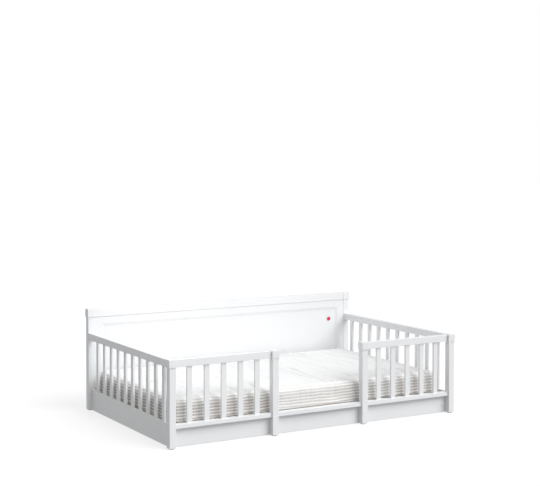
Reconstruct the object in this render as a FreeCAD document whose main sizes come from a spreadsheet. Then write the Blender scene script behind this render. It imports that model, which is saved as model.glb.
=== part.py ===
import FreeCAD, Part
import Sketcher
import os

# A low toddler bed with a solid panelled back, slatted ends and slatted guards either side of an entry
# gap in the front. Lengths are millimetres. +X runs along the bed, -Y is the open front side, +Y is the
# panelled back and +Z is up. The origin is on the floor, under the middle of the bed.

DIMENSIONS = (
    # alias, millimetres or a count, what it measures
    ("overall_length", 2090, "along X, over the post caps"),
    ("overall_depth", 1320, "along Y, over the post caps"),
    ("overall_height", 680, "floor to the top of the back caps"),
    ("guard_height", 523, "floor to the top of the guard caps"),
    ("post_width", 42, "side of the square posts"),
    ("cap_overhang", 4, "how far a cap stands proud of its post, each way"),
    ("guard_cap_height", 48, "caps of the four front posts"),
    ("back_cap_height", 54, "caps of the two back posts, and the back top rail"),
    ("inner_post_offset", 328, "middle of the bed to the middle of an inner front post"),
    ("edge_round", 1.6, "rounding on the long edges of the painted wood"),
    ("edge_fine", 0.8, "rounding on thin or fitted wood"),
    ("rail_height", 44, "guard and end top rails"),
    ("rail_drop", 3, "top rails below the cap tops"),
    ("guard_rail_depth", 31, "front top rails, front to back"),
    ("end_rail_depth", 38, "end top rails, outside to inside"),
    ("front_setback", 11, "front rails behind the front faces of the posts"),
    ("end_rail_setback", 1, "end top rails behind the outer faces of the posts"),
    ("lower_rail_top", 141, "floor to the top of the lower rails"),
    ("lower_rail_height", 26, "lower rails"),
    ("lower_rail_depth", 42, "lower rails, front to back"),
    ("skirt_thickness", 18, "panels under the lower rails"),
    ("skirt_lift", 3, "floor to the bottom of the skirts and end boards"),
    ("end_board_top", 140, "floor to the ledge that the end spindles stand on"),
    ("end_board_thickness", 18, "end boards"),
    ("end_board_setback", 22, "end boards behind the outer faces of the posts"),
    ("end_board_cam_low", 28, "floor to the lower bolts at the ends of the end boards"),
    ("end_board_cam_high", 98, "floor to the upper bolts at the ends of the end boards"),
    ("skirt_cam_height", 61, "floor to the bolts at the ends of the skirts"),
    ("spindle_width", 33, "spindles, along the guard"),
    ("spindle_depth", 13, "spindles, through the guard"),
    ("spindle_setback", 8, "front spindles behind the front rails"),
    ("end_spindle_setback", 2, "end spindles behind the outer faces of the end boards"),
    ("tenon", 8, "how deep a spindle sits in its mortise"),
    ("guard_spindles", 5, "spindles in each front guard"),
    ("end_spindles", 10, "spindles in each end"),
    ("back_frame_thickness", 22, "rails and stiles of the back panel"),
    ("back_frame_setback", 2, "back frame behind the front faces of the back posts"),
    ("frame_top_height", 50, "top rail of the back frame"),
    ("frame_bottom_height", 90, "bottom rail of the back frame"),
    ("stile_width", 56, "stiles of the back frame"),
    ("stile_cam_inset", 70, "each end of a stile to its nearer bolt"),
    ("field_thickness", 10, "sunk panel in the back frame"),
    ("field_setback", 5, "sunk panel behind the front of the back frame"),
    ("panel_tongue", 8, "how far the sunk panel enters its grooves"),
    ("moulding_width", 15, "bevelled strips round the sunk panel"),
    ("moulding_thick", 4, "strips at their outer edge"),
    ("moulding_thin", 1.5, "strips at their inner edge"),
    ("back_rail_setback", 2, "back top rail inside the caps, each side"),
    ("back_rail_drop", 1.5, "back top rail below the cap tops"),
    ("slat_count", 14, "slats under the mattress"),
    ("slat_width", 90, "slats, along the bed"),
    ("slat_thickness", 18, "slats"),
    ("slat_top", 135, "floor to the top of the slats"),
    ("slat_end_gap", 4, "slat end to skirt"),
    ("slat_field", 1916, "length that the slats cover"),
    ("ledger_length", 1910, "battens that carry the slat ends"),
    ("ledger_depth", 26, "battens, front to back"),
    ("ledger_height", 22, "battens"),
    ("beam_width", 30, "centre beam"),
    ("beam_height", 60, "centre beam"),
    ("beam_block", 30, "blocks that carry the ends of the centre beam, along X and Z"),
    ("beam_block_width", 60, "the same blocks, along Y"),
    ("leg_width", 40, "legs of the centre beam"),
    ("glide_height", 4, "plastic glides under the posts and legs"),
    ("glide_radius", 15, "glides"),
    ("mattress_length", 1966, "mattress"),
    ("mattress_width", 1175, "mattress"),
    ("mattress_height", 150, "mattress"),
    ("mattress_corner", 55, "rounding of the upright corners of the mattress"),
    ("mattress_top_round", 45, "rounding round the top of the mattress"),
    ("mattress_bottom_round", 12, "rounding round the bottom of the mattress"),
    ("mattress_shift", 17, "mattress pushed towards the left end"),
    ("mattress_forward", 9.5, "mattress pushed towards the front"),
    ("mattress_clearance", 0.3, "slats to mattress"),
    ("cam_bolt_radius", 3, "connecting bolts"),
    ("cam_bolt_grip", 10, "length of a bolt inside the post"),
    ("cam_reach", 24, "end of the rail to the middle of its cam disc"),
    ("cam_disc_radius", 7.4, "cam discs"),
    ("cam_disc_depth", 12, "cam discs"),
    ("cam_axis_depth", 8, "bolt axis under the face that the disc is let into"),
    ("bore_clearance", 0.1, "between a fitting and its bore, all round"),
    ("dowel_radius", 6, "dowels between posts and caps"),
    ("dowel_length", 40, "the same dowels, half in each piece"),
    ("screw_radius", 2, "wood screws"),
    ("screw_length", 35, "wood screws, head included"),
    ("screw_head_radius", 4, "countersunk heads"),
    ("screw_head_depth", 3, "countersunk heads"),
    ("ledger_screw_count", 7, "screws in each ledger"),
    ("ledger_screw_drop", 13, "ledger tops down to the same screws"),
    ("badge_radius", 15, "plain round badge on the sunk panel"),
    ("badge_thickness", 3, "badge"),
    ("badge_x", 870, "middle of the bed to the middle of the badge"),
    ("badge_z", 489, "floor to the middle of the badge"),
)

# Places that many pieces share, as expressions on the sheet's cells.
CAP_SIDE = "(dims.post_width + 2 * dims.cap_overhang)"
OUTER_X = "(dims.overall_length / 2 - dims.cap_overhang)"
INNER_X = f"({OUTER_X} - dims.post_width)"
OUTER_Y = "(dims.overall_depth / 2 - dims.cap_overhang)"
INNER_Y = f"({OUTER_Y} - dims.post_width)"
CAP_INNER_X = f"({INNER_X} - dims.cap_overhang)"
CAP_INNER_Y = f"({INNER_Y} - dims.cap_overhang)"
MID_POST_OUTER = "(dims.inner_post_offset + dims.post_width / 2)"
MID_POST_INNER = "(dims.inner_post_offset - dims.post_width / 2)"
MID_CAP_OUTER = f"({MID_POST_OUTER} + dims.cap_overhang)"
GUARD_POST_TOP = "(dims.guard_height - dims.guard_cap_height)"
BACK_POST_TOP = "(dims.overall_height - dims.back_cap_height)"
RAIL_BOTTOM = "(dims.guard_height - dims.rail_drop - dims.rail_height)"
FRONT_FACE_Y = f"({OUTER_Y} - dims.front_setback)"
LOWER_RAIL_BOTTOM = "(dims.lower_rail_top - dims.lower_rail_height)"
END_BOARD_OUTER = f"({OUTER_X} - dims.end_board_setback)"
END_BOARD_INNER = f"({END_BOARD_OUTER} - dims.end_board_thickness)"
END_RAIL_OUTER = f"({OUTER_X} - dims.end_rail_setback)"
END_RAIL_INNER = f"({END_RAIL_OUTER} - dims.end_rail_depth)"
SKIRT_INNER_Y = f"({INNER_Y} - dims.skirt_thickness)"
BACK_FRAME_Y = f"({INNER_Y} + dims.back_frame_setback)"
FIELD_Y = f"({BACK_FRAME_Y} + dims.field_setback)"
FIELD_HALF = f"({INNER_X} - dims.stile_width)"
FIELD_BOTTOM = "(dims.lower_rail_top + dims.frame_bottom_height)"
FIELD_TOP = f"({BACK_POST_TOP} - dims.frame_top_height)"
LEDGER_TOP = "(dims.slat_top - dims.slat_thickness)"

X_AXIS = FreeCAD.Vector(1, 0, 0)
Y_AXIS = FreeCAD.Vector(0, 1, 0)
Z_AXIS = FreeCAD.Vector(0, 0, 1)
SIDES = (("left", -1), ("right", 1))

doc = FreeCAD.newDocument("toddler_bed")
blanks = {}    # piece name -> its solid before mortises and bores are cut
cutters = {}   # piece name -> the tools that cut it
fittings = {}  # name of a group of like fittings -> its solids


# ---- drawing helpers ----------------------------------------------------------------------------------

def make_sheet():
    """The sheet of driving dimensions."""
    sheet = doc.addObject("Spreadsheet::Sheet", "dims")
    for row, (alias, value, meaning) in enumerate(DIMENSIONS, start=1):
        sheet.set(f"A{row}", meaning)
        sheet.set(f"B{row}", str(value))
        sheet.setAlias(f"B{row}", alias)
    doc.recompute()
    return sheet


def number(expression):
    """The value of an expression on the sheet's cells, as a plain number."""
    return float(sheet.evalExpression(expression))


def point(x, y, z):
    """A point from three expressions."""
    return FreeCAD.Vector(number(x), number(y), number(z))


def mirrored_low(sign, near, far):
    """Lower end, along an axis, of a piece that spans near..far on one side of the middle plane."""
    return near if sign > 0 else f"-({far})"


def bind_place(thing, low):
    """Binds the place of an object's own origin to three expressions."""
    for axis, expression in zip("xyz", low):
        thing.setExpression(f"Placement.Base.{axis}", expression)


def rectangle(body, name, length, width):
    """A sketch on the body's XY plane: a rectangle with one corner at the origin."""
    sketch = body.newObject("Sketcher::SketchObject", name)
    plane = next(feature for feature in body.Origin.OriginFeatures if feature.Role == "XY_Plane")
    sketch.AttachmentSupport = [(plane, "")]
    sketch.MapMode = "FlatFace"
    far_x, far_y = number(length), number(width)
    corners = [FreeCAD.Vector(x, y, 0) for x, y in ((0, 0), (far_x, 0), (far_x, far_y), (0, far_y))]
    for side in range(4):
        sketch.addGeometry(Part.LineSegment(corners[side], corners[(side + 1) % 4]), False)
    for side in range(4):
        sketch.addConstraint(Sketcher.Constraint("Coincident", side, 2, (side + 1) % 4, 1))
        sketch.addConstraint(Sketcher.Constraint("Vertical" if side % 2 else "Horizontal", side))
    sketch.addConstraint(Sketcher.Constraint("Coincident", 0, 1, -1, 1))
    sizes = ((0, "DistanceX", "length", length), (1, "DistanceY", "width", width))
    for side, kind, label, expression in sizes:
        added = sketch.addConstraint(Sketcher.Constraint(kind, side, 1, side, 2, number(expression)))
        sketch.renameConstraint(added, label)
        sketch.setExpression(f"Constraints.{label}", expression)
    return sketch


def padded_body(name, low, size):
    """A body with one sharp rectangular pad: its lowest corner and its size are expressions."""
    body = doc.addObject("PartDesign::Body", name + "_body")
    pad = body.newObject("PartDesign::Pad", name + "_pad")
    pad.Profile = rectangle(body, name + "_outline", size[0], size[1])
    pad.setExpression("Length", size[2])
    bind_place(body, low)
    blanks[name] = body
    return body, pad


def block(name, low, size, rounding="dims.edge_round"):
    """A rectangular piece with every edge rounded."""
    body, pad = padded_body(name, low, size)
    edges = body.newObject("PartDesign::Fillet", name + "_edges")
    edges.Base = (pad, ["Edge1"])
    edges.UseAllEdges = True
    edges.setExpression("Radius", rounding)
    body.Tip = edges
    return body


def plain_box(name, low, size):
    """A sharp box, for mortises and grooves."""
    box = doc.addObject("Part::Box", name)
    for side, expression in zip(("Length", "Width", "Height"), size):
        box.setExpression(side, expression)
    bind_place(box, low)
    return box


def cylinder(name, start, direction, radius, length):
    """A cylinder from a point along a direction."""
    rod = doc.addObject("Part::Cylinder", name)
    rod.setExpression("Radius", radius)
    rod.setExpression("Height", length)
    rod.Placement = FreeCAD.Placement(start, FreeCAD.Rotation(Z_AXIS, direction))
    return rod


def cone(name, start, direction, near_radius, far_radius, length):
    """A cone from a point along a direction."""
    head = doc.addObject("Part::Cone", name)
    head.setExpression("Radius1", near_radius)
    head.setExpression("Radius2", far_radius)
    head.setExpression("Height", length)
    head.Placement = FreeCAD.Placement(start, FreeCAD.Rotation(Z_AXIS, direction))
    return head


def group(kind, name, members):
    """A compound (kind Compound) or a union (kind MultiFuse) of several objects."""
    together = doc.addObject("Part::" + kind, name)
    if kind == "Compound":
        together.Links = members
    else:
        together.Shapes = members
    return together


def cut_from(names, tool):
    """Notes that a tool cuts each of the named pieces."""
    for name in names:
        cutters.setdefault(name, []).append(tool)


# ---- fittings -----------------------------------------------------------------------------------------

def cam_joint(name, pieces, meeting, into, face):
    """A connecting bolt and its cam disc. meeting is where the bolt's axis crosses the joint, into is the
    direction from there into the piece that holds the disc, and face is the way the disc's face looks."""
    grip = number("dims.cam_bolt_grip")
    disc_middle = meeting + into * number("dims.cam_reach")
    disc_face = disc_middle + face * number("dims.cam_axis_depth")
    bolt_start = meeting - into * grip
    bolt_length = "dims.cam_bolt_grip + dims.cam_reach - dims.cam_disc_radius"
    fittings.setdefault("cam_bolts", []).append(
        cylinder(name + "_bolt", bolt_start, into, "dims.cam_bolt_radius", bolt_length))
    fittings.setdefault("cam_discs", []).append(
        cylinder(name + "_disc", disc_face, -face, "dims.cam_disc_radius", "dims.cam_disc_depth"))
    bolt_bore = cylinder(name + "_bolt_bore", bolt_start, into, "dims.cam_bolt_radius + dims.bore_clearance",
                         "dims.cam_bolt_grip + dims.cam_reach")
    disc_bore = cylinder(name + "_disc_bore", disc_face, -face, "dims.cam_disc_radius + dims.bore_clearance",
                         "dims.cam_disc_depth")
    cut_from(pieces, bolt_bore)
    cut_from(pieces[:1], disc_bore)


def wood_screw(group_name, name, pieces, head, direction):
    """A countersunk screw from the middle of its head along a direction, and its hole in the pieces."""
    neck = head + direction * number("dims.screw_head_depth")
    shank = "dims.screw_length - dims.screw_head_depth"
    fittings.setdefault(group_name, []).extend((
        cylinder(name + "_shank", neck, direction, "dims.screw_radius", shank),
        cone(name + "_head", head, direction, "dims.screw_head_radius", "dims.screw_radius",
             "dims.screw_head_depth")))
    clearance = " + dims.bore_clearance"
    hole = cylinder(name + "_hole", head, direction, "dims.screw_radius" + clearance, "dims.screw_length")
    countersink = cone(name + "_sink", head, direction, "dims.screw_head_radius" + clearance,
                       "dims.screw_radius" + clearance, "dims.screw_head_depth")
    cut_from(pieces, hole)
    cut_from(pieces[:1], countersink)


# ---- posts and caps -----------------------------------------------------------------------------------

def post_with_cap(name, middle_x, middle_y, top, cap_height):
    """A square post on its glide, with a cap held by a dowel."""
    low = [f"{middle_x} - dims.post_width / 2", f"{middle_y} - dims.post_width / 2", "dims.glide_height"]
    block("post_" + name, low, ["dims.post_width", "dims.post_width", f"{top} - dims.glide_height"])
    cap_low = [f"{middle_x} - {CAP_SIDE} / 2", f"{middle_y} - {CAP_SIDE} / 2", top]
    block("cap_" + name, cap_low, [CAP_SIDE, CAP_SIDE, cap_height])
    dowel_start = point(middle_x, middle_y, f"{top} - dims.dowel_length / 2")
    fittings.setdefault("cap_dowels", []).append(
        cylinder(name + "_dowel", dowel_start, Z_AXIS, "dims.dowel_radius", "dims.dowel_length"))
    bore = cylinder(name + "_dowel_bore", dowel_start, Z_AXIS, "dims.dowel_radius + dims.bore_clearance",
                    "dims.dowel_length")
    cut_from(["post_" + name, "cap_" + name], bore)
    fittings.setdefault("post_glides", []).append(
        cylinder(name + "_glide", point(middle_x, middle_y, "0"), Z_AXIS, "dims.glide_radius",
                 "dims.glide_height"))


def make_posts():
    corner_x = f"({OUTER_X} - dims.post_width / 2)"
    corner_y = f"({OUTER_Y} - dims.post_width / 2)"
    for side, sign in SIDES:
        x_sign = "-" if sign < 0 else ""
        front = ("-" + corner_y, GUARD_POST_TOP, "dims.guard_cap_height")
        post_with_cap("front_" + side, x_sign + corner_x, *front)
        post_with_cap("front_inner_" + side, x_sign + "dims.inner_post_offset", *front)
        post_with_cap("back_" + side, x_sign + corner_x, corner_y, BACK_POST_TOP, "dims.back_cap_height")


# ---- front guards -------------------------------------------------------------------------------------

def make_front_guard(side, sign):
    """Top rail, lower rail and spindles between a corner post and an inner post."""
    top_rail = f"front_{side}_top_rail"
    lower_rail = f"front_lower_rail_{side}"
    corner, inner = "front_" + side, "front_inner_" + side
    rail_x = mirrored_low(sign, MID_CAP_OUTER, CAP_INNER_X)
    block(top_rail, [rail_x, f"-{FRONT_FACE_Y}", RAIL_BOTTOM],
          [f"{CAP_INNER_X} - {MID_CAP_OUTER}", "dims.guard_rail_depth", "dims.rail_height"])
    lower_x = mirrored_low(sign, MID_POST_OUTER, INNER_X)
    block(lower_rail, [lower_x, f"-{FRONT_FACE_Y}", LOWER_RAIL_BOTTOM],
          [f"{INNER_X} - {MID_POST_OUTER}", "dims.lower_rail_depth", "dims.lower_rail_height"])

    open_width = f"({INNER_X} - {MID_POST_OUTER} - dims.guard_spindles * dims.spindle_width)"
    gap = f"({open_width} / (dims.guard_spindles + 1))"
    height = f"{RAIL_BOTTOM} - dims.lower_rail_top + 2 * dims.tenon"
    size = ["dims.spindle_width", "dims.spindle_depth", height]
    for index in range(int(number("dims.guard_spindles"))):
        low = [f"{lower_x} + {index + 1} * {gap} + {index} * dims.spindle_width",
               f"-{FRONT_FACE_Y} + dims.spindle_setback", "dims.lower_rail_top - dims.tenon"]
        spindle = f"front_{side}_spindle_{index + 1}"
        block(spindle, low, size, "dims.edge_fine")
        mortise = plain_box(spindle + "_space", low, size)
        cut_from([top_rail, lower_rail], mortise)

    cam_y = f"-{FRONT_FACE_Y} + dims.guard_rail_depth - dims.cam_axis_depth"
    cam_z = f"{RAIL_BOTTOM} + dims.rail_height / 2"
    top_ends = (("cap_" + corner, CAP_INNER_X, -sign), ("cap_" + inner, MID_CAP_OUTER, sign))
    for cap, meeting_x, into in top_ends:
        meeting = point(meeting_x, cam_y, cam_z)
        meeting.x *= sign
        cam_joint(f"{top_rail}_{cap}", [top_rail, cap], meeting, X_AXIS * into, Y_AXIS)
    lower_rail_cams(lower_rail, -1, (("post_" + corner, INNER_X, sign, -sign),
                                     ("post_" + inner, MID_POST_OUTER, sign, sign)))


def lower_rail_cams(rail, side_y, ends):
    """Cam joints of a lower rail, let in from its underside."""
    for post, meeting_x, sign, into in ends:
        meeting = point(meeting_x, f"{OUTER_Y} - dims.post_width / 2",
                        f"{LOWER_RAIL_BOTTOM} + dims.cam_axis_depth")
        meeting.x *= sign
        meeting.y *= side_y
        cam_joint(f"{rail}_{post}", [rail, post], meeting, X_AXIS * into, -Z_AXIS)


def make_front_middle():
    """The lower rail across the entry gap, and the skirt behind all the front posts."""
    rail = "front_lower_rail_middle"
    block(rail, [f"-{MID_POST_INNER}", f"-{FRONT_FACE_Y}", LOWER_RAIL_BOTTOM],
          [f"2 * {MID_POST_INNER}", "dims.lower_rail_depth", "dims.lower_rail_height"])
    lower_rail_cams(rail, -1, (("post_front_inner_left", MID_POST_INNER, -1, 1),
                               ("post_front_inner_right", MID_POST_INNER, 1, -1)))
    make_skirt("front", -1)


def make_skirt(side, side_y):
    """A panel that closes the space under the lower rail, between the end boards."""
    skirt = f"{side}_skirt"
    block(skirt, [f"-{END_BOARD_INNER}", mirrored_low(side_y, SKIRT_INNER_Y, INNER_Y), "dims.skirt_lift"],
          [f"2 * {END_BOARD_INNER}", "dims.skirt_thickness", f"{LOWER_RAIL_BOTTOM} - dims.skirt_lift"])
    for end, sign in SIDES:
        meeting = point(END_BOARD_INNER, f"{SKIRT_INNER_Y} + dims.cam_axis_depth", "dims.skirt_cam_height")
        meeting.x *= sign
        meeting.y *= side_y
        cam_joint(f"{skirt}_{end}", [skirt, f"{end}_end_board"], meeting, X_AXIS * -sign, Y_AXIS * -side_y)


# ---- slatted ends -------------------------------------------------------------------------------------

def make_end(side, sign):
    """Top rail, board and spindles between a front and a back corner post."""
    top_rail = f"{side}_end_top_rail"
    board = f"{side}_end_board"
    block(top_rail, [mirrored_low(sign, END_RAIL_INNER, END_RAIL_OUTER), f"-{CAP_INNER_Y}", RAIL_BOTTOM],
          ["dims.end_rail_depth", f"{CAP_INNER_Y} + {INNER_Y}", "dims.rail_height"])
    block(board, [mirrored_low(sign, END_BOARD_INNER, END_BOARD_OUTER), f"-{INNER_Y}", "dims.skirt_lift"],
          ["dims.end_board_thickness", f"2 * {INNER_Y}", "dims.end_board_top - dims.skirt_lift"])

    open_width = f"(2 * {INNER_Y} - dims.end_spindles * dims.spindle_width)"
    gap = f"({open_width} / (dims.end_spindles + 1))"
    outer = f"({END_BOARD_OUTER} - dims.end_spindle_setback)"
    height = f"{RAIL_BOTTOM} - dims.end_board_top + 2 * dims.tenon"
    size = ["dims.spindle_depth", "dims.spindle_width", height]
    spindles = []
    for index in range(int(number("dims.end_spindles"))):
        low = [mirrored_low(sign, f"{outer} - dims.spindle_depth", outer),
               f"-{INNER_Y} + {index + 1} * {gap} + {index} * dims.spindle_width",
               "dims.end_board_top - dims.tenon"]
        name = f"{side}_end_spindle_{index + 1}"
        spindles.append(block(name, low, size, "dims.edge_fine"))
        del blanks[name]
        cut_from([top_rail, board], plain_box(name + "_space", low, size))
    blanks[f"{side}_end_spindles"] = group("Compound", f"{side}_end_spindle_set", spindles)

    rail_cam = (f"{END_RAIL_OUTER} - dims.end_rail_depth / 2", f"{RAIL_BOTTOM} + dims.cam_axis_depth",
                -Z_AXIS)
    board_x = f"{END_BOARD_INNER} + dims.cam_axis_depth"
    inwards = X_AXIS * -sign
    ends = [(top_rail, "cap_front_" + side, f"-{CAP_INNER_Y}", 1, *rail_cam),
            (top_rail, "post_back_" + side, INNER_Y, -1, *rail_cam)]
    for cam_height in ("dims.end_board_cam_low", "dims.end_board_cam_high"):
        ends.append((board, "post_front_" + side, f"-{INNER_Y}", 1, board_x, cam_height, inwards))
        ends.append((board, "post_back_" + side, INNER_Y, -1, board_x, cam_height, inwards))
    for count, (piece, post, meeting_y, into, axis_x, axis_z, face) in enumerate(ends):
        meeting = point(axis_x, meeting_y, axis_z)
        meeting.x *= sign
        cam_joint(f"{piece}_cam_{count}", [piece, post], meeting, Y_AXIS * into, face)


# ---- panelled back ------------------------------------------------------------------------------------

def make_back():
    """Lower rail, skirt, framed and sunk panel, and the top rail between the back caps."""
    rail = "back_lower_rail"
    block(rail, [f"-{INNER_X}", f"{FRONT_FACE_Y} - dims.lower_rail_depth", LOWER_RAIL_BOTTOM],
          [f"2 * {INNER_X}", "dims.lower_rail_depth", "dims.lower_rail_height"])
    lower_rail_cams(rail, 1, (("post_back_left", INNER_X, -1, 1), ("post_back_right", INNER_X, 1, -1)))
    make_skirt("back", 1)

    top_rail_y = f"({CAP_INNER_Y} + dims.back_rail_setback)"
    top_rail_depth = f"({CAP_SIDE} - 2 * dims.back_rail_setback)"
    block("back_top_rail", [f"-{CAP_INNER_X}", top_rail_y, BACK_POST_TOP],
          [f"2 * {CAP_INNER_X}", top_rail_depth, "dims.back_cap_height - dims.back_rail_drop"])

    frame = "dims.back_frame_thickness"
    block("back_frame_top", [f"-{INNER_X}", BACK_FRAME_Y, FIELD_TOP],
          [f"2 * {INNER_X}", frame, "dims.frame_top_height"], "dims.edge_fine")
    block("back_frame_bottom", [f"-{INNER_X}", BACK_FRAME_Y, "dims.lower_rail_top"],
          [f"2 * {INNER_X}", frame, "dims.frame_bottom_height"], "dims.edge_fine")
    for side, sign in SIDES:
        stile = f"back_{side}_stile"
        block(stile, [mirrored_low(sign, FIELD_HALF, INNER_X), BACK_FRAME_Y, FIELD_BOTTOM],
              ["dims.stile_width", frame, f"{FIELD_TOP} - {FIELD_BOTTOM}"], "dims.edge_fine")
        cam_heights = (("low", f"{FIELD_BOTTOM} + dims.stile_cam_inset"),
                       ("high", f"{FIELD_TOP} - dims.stile_cam_inset"))
        for level, cam_height in cam_heights:
            meeting = point(INNER_X, f"{BACK_FRAME_Y} + {frame} - dims.cam_axis_depth", cam_height)
            meeting.x *= sign
            cam_joint(f"{stile}_cam_{level}", [stile, "post_back_" + side], meeting, X_AXIS * -sign, Y_AXIS)
        meeting = point(CAP_INNER_X, f"{top_rail_y} + {top_rail_depth} - dims.cam_axis_depth",
                        f"{BACK_POST_TOP} + dims.back_cap_height / 2")
        meeting.x *= sign
        cam_joint(f"back_top_rail_{side}", ["back_top_rail", "cap_back_" + side], meeting,
                  X_AXIS * -sign, Y_AXIS)

    field_low = [f"-{FIELD_HALF} - dims.panel_tongue", FIELD_Y, f"{FIELD_BOTTOM} - dims.panel_tongue"]
    field_size = [f"2 * ({FIELD_HALF} + dims.panel_tongue)", "dims.field_thickness",
                  f"{FIELD_TOP} - {FIELD_BOTTOM} + 2 * dims.panel_tongue"]
    blanks["back_field_panel"] = plain_box("back_field_board", field_low, field_size)
    groove = plain_box("back_field_groove", field_low, field_size)
    cut_from(["back_frame_top", "back_frame_bottom", "back_left_stile", "back_right_stile"], groove)
    make_moulding()


def moulding_strip(name, length, middle, down, along):
    """A bevelled strip with mitred ends, from its thick outer edge inwards. middle is the middle of the
    outer edge on the sunk panel, down points to the thin edge and along runs along the strip."""
    strip = doc.addObject("Part::Wedge", name)
    strip.setExpression("Xmin", f"-{length} / 2")
    strip.setExpression("Xmax", f"{length} / 2")
    strip.setExpression("X2min", f"-{length} / 2 + dims.moulding_width")
    strip.setExpression("X2max", f"{length} / 2 - dims.moulding_width")
    strip.Ymin = 0
    strip.setExpression("Ymax", "dims.moulding_width")
    strip.Zmin = 0
    strip.Z2min = 0
    strip.setExpression("Zmax", "dims.moulding_thick")
    strip.setExpression("Z2max", "dims.moulding_thin")
    strip.Placement = FreeCAD.Placement(middle, FreeCAD.Rotation(along, down, along.cross(down), "XYZ"))
    return strip


def make_moulding():
    """Four bevelled strips in the angle between the back frame and the sunk panel."""
    width = f"(2 * {FIELD_HALF})"
    height = f"({FIELD_TOP} - {FIELD_BOTTOM})"
    middle_z = f"({FIELD_TOP} + {FIELD_BOTTOM}) / 2"
    strips = [
        moulding_strip("moulding_top", width, point("0", FIELD_Y, FIELD_TOP), -Z_AXIS, -X_AXIS),
        moulding_strip("moulding_bottom", width, point("0", FIELD_Y, FIELD_BOTTOM), Z_AXIS, X_AXIS),
        moulding_strip("moulding_left", height, point(f"-{FIELD_HALF}", FIELD_Y, middle_z), X_AXIS, -Z_AXIS),
        moulding_strip("moulding_right", height, point(FIELD_HALF, FIELD_Y, middle_z), -X_AXIS, Z_AXIS)]
    blanks["back_panel_moulding"] = group("Compound", "moulding_set", strips)


def make_badge():
    """A plain round badge on the sunk panel."""
    blanks["round_badge"] = cylinder("badge_disc", point("dims.badge_x", FIELD_Y, "dims.badge_z"), -Y_AXIS,
                                     "dims.badge_radius", "dims.badge_thickness")


# ---- slatted base -------------------------------------------------------------------------------------

def make_ledger(side, side_y):
    """A batten screwed to the inside of a skirt."""
    ledger = f"{side}_slat_ledger"
    inner_y = f"({SKIRT_INNER_Y} - dims.ledger_depth)"
    block(ledger, ["-dims.ledger_length / 2", mirrored_low(side_y, inner_y, SKIRT_INNER_Y),
                   f"{LEDGER_TOP} - dims.ledger_height"],
          ["dims.ledger_length", "dims.ledger_depth", "dims.ledger_height"], "dims.edge_fine")
    count = int(number("dims.ledger_screw_count"))
    for index in range(count):
        head = point(f"dims.ledger_length * ({index + 0.5} / {count} - 0.5)", inner_y,
                     f"{LEDGER_TOP} - dims.ledger_screw_drop")
        head.y *= side_y
        wood_screw("ledger_screws", f"{ledger}_screw_{index + 1}", [ledger, f"{side}_skirt"], head,
                   Y_AXIS * side_y)


def make_slats():
    """Slats across the bed, each screwed to both ledgers."""
    count = int(number("dims.slat_count"))
    half_y = f"({SKIRT_INNER_Y} - dims.slat_end_gap)"
    pitch = "((dims.slat_field - dims.slat_width) / (dims.slat_count - 1))"
    slats = []
    for index in range(count):
        low_x = f"-dims.slat_field / 2 + {index} * {pitch}"
        name = f"slat_{index + 1}"
        slats.append(block(name, [low_x, f"-{half_y}", LEDGER_TOP],
                           ["dims.slat_width", f"2 * {half_y}", "dims.slat_thickness"], "dims.edge_fine"))
        del blanks[name]
        for side, side_y in (("front", -1), ("back", 1)):
            head = point(f"{low_x} + dims.slat_width / 2", f"{SKIRT_INNER_Y} - dims.ledger_depth / 2",
                         "dims.slat_top")
            head.y *= side_y
            wood_screw("slat_screws", f"{name}_{side}_screw", ["base_slats", f"{side}_slat_ledger"], head,
                       -Z_AXIS)
    blanks["base_slats"] = group("Compound", "slat_set", slats)


def make_centre_beam():
    """A beam under the middle of the slats, on a block at each end and two legs between."""
    beam_bottom = f"({LEDGER_TOP} - dims.beam_height)"
    block("centre_beam", [f"-{END_BOARD_INNER}", "-dims.beam_width / 2", beam_bottom],
          [f"2 * {END_BOARD_INNER}", "dims.beam_width", "dims.beam_height"], "dims.edge_fine")
    carriers = []
    for side, sign in SIDES:
        low_x = mirrored_low(sign, f"{END_BOARD_INNER} - dims.beam_block", END_BOARD_INNER)
        name = f"beam_block_{side}"
        low = [low_x, "-dims.beam_block_width / 2", f"{beam_bottom} - dims.beam_block"]
        size = ["dims.beam_block", "dims.beam_block_width", "dims.beam_block"]
        carriers.append(block(name, low, size, "dims.edge_fine"))
        del blanks[name]
        leg_x = "dims.inner_post_offset" if sign > 0 else "-dims.inner_post_offset"
        leg_low = [f"{leg_x} - dims.leg_width / 2", "-dims.leg_width / 2", "dims.glide_height"]
        leg_size = ["dims.leg_width", "dims.leg_width", f"{beam_bottom} - dims.glide_height"]
        block(f"centre_leg_{side}", leg_low, leg_size, "dims.edge_fine")
        fittings["post_glides"].append(
            cylinder(f"leg_{side}_glide", point(leg_x, "0", "0"), Z_AXIS, "dims.glide_radius",
                     "dims.glide_height"))
    blanks["beam_end_blocks"] = group("Compound", "beam_block_set", carriers)


def edges_between(shape, lowest, highest):
    """Names of a shape's edges whose middles lie between two heights above its own base."""
    names = []
    for count, edge in enumerate(shape.Edges, start=1):
        if lowest < edge.CenterOfMass.z < highest:
            names.append(f"Edge{count}")
    return names


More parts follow.
